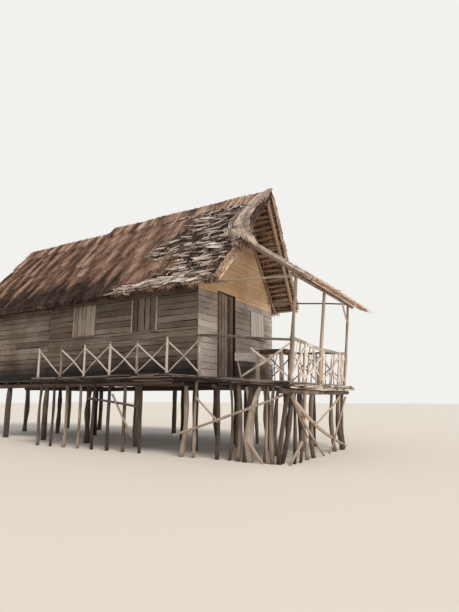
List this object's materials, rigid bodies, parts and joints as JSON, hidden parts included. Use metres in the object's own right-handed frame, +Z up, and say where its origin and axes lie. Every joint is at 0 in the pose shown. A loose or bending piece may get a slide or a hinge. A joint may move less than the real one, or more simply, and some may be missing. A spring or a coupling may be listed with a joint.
{
  "type": "stilt house",
  "caption": "Thatched plank beach house on round stilts, with a railed walkway along one side and a sagging terrace under a lean-to porch roof before its gable; the plank door swings inward.",
  "frame": {"origin": "middle of the foot of the near front corner stilt, at ground level", "axes": "+X along the ridge towards the terrace, +Y across the gable away from the walkway, +Z up"},
  "size_m": [11.256, 5.0437, 6.1145],
  "materials": {
    "weathered_round_wood": "rough, weathered",
    "deck_boards": "rough, worn",
    "grey_wall_boards": "rough sawn, silvered",
    "tan_gable_boards": "rough sawn",
    "frame_timber": "rough sawn",
    "rusty_iron": "rusted",
    "door_wood": "weathered",
    "shutter_boards": "weathered",
    "roof_poles": "bark off, dry",
    "palm_thatch": "dry leaf, matt",
    "pale_thatch": "dry leaf, bleached",
    "bleached_sticks": "sun bleached",
    "bench_wood": "weathered"
  },
  "bodies": {
    "house": {"near_stilts": "weathered_round_wood", "middle_stilts": "weathered_round_wood", "far_stilts": "weathered_round_wood", "walkway_stilts": "weathered_round_wood", "terrace_stilts": "weathered_round_wood", "stilt_braces": "weathered_round_wood", "house_bearers": "weathered_round_wood", "floor_joists": "weathered_round_wood", "house_floor": "deck_boards", "terrace_bearers": "weathered_round_wood", "terrace_stringers": "weathered_round_wood", "walkway_deck": "deck_boards", "terrace_deck": "deck_boards", "deck_edge_poles": "weathered_round_wood", "near_wall": "grey_wall_boards", "far_wall": "grey_wall_boards", "annex_walls": "grey_wall_boards", "rear_gable_wall": "grey_wall_boards", "gable_panels": "grey_wall_boards", "front_gable": "tan_gable_boards", "wall_posts": "frame_timber", "wall_plates": "frame_timber", "door_frame": "frame_timber", "door_pintles": "rusty_iron", "long_wall_shutters": "shutter_boards", "gable_shutter": "shutter_boards", "ridge_pole": "roof_poles", "near_rafters": "roof_poles", "far_rafters": "roof_poles", "near_battens": "roof_poles", "far_battens": "roof_poles", "near_thatch": "palm_thatch", "far_thatch": "palm_thatch", "annex_thatch": "palm_thatch", "ridge_cap": "palm_thatch", "porch_posts": "bleached_sticks", "porch_frame": "bleached_sticks", "porch_thatch": "pale_thatch", "walkway_railing": "bleached_sticks", "terrace_front_railing": "bleached_sticks", "terrace_outer_railing": "bleached_sticks", "terrace_far_railing": "bleached_sticks", "bench": "bench_wood"},
    "door": {"door_planks": "door_wood", "door_straps": "rusty_iron"}
  },
  "joints": [
    {"name": "door_hinge", "type": "hinge", "parent": "house", "child": "door", "pos_m": [0.0017, 0.65, 1.5], "axis": [0, 0, 1], "range_deg": [0, 100]}
  ]
}
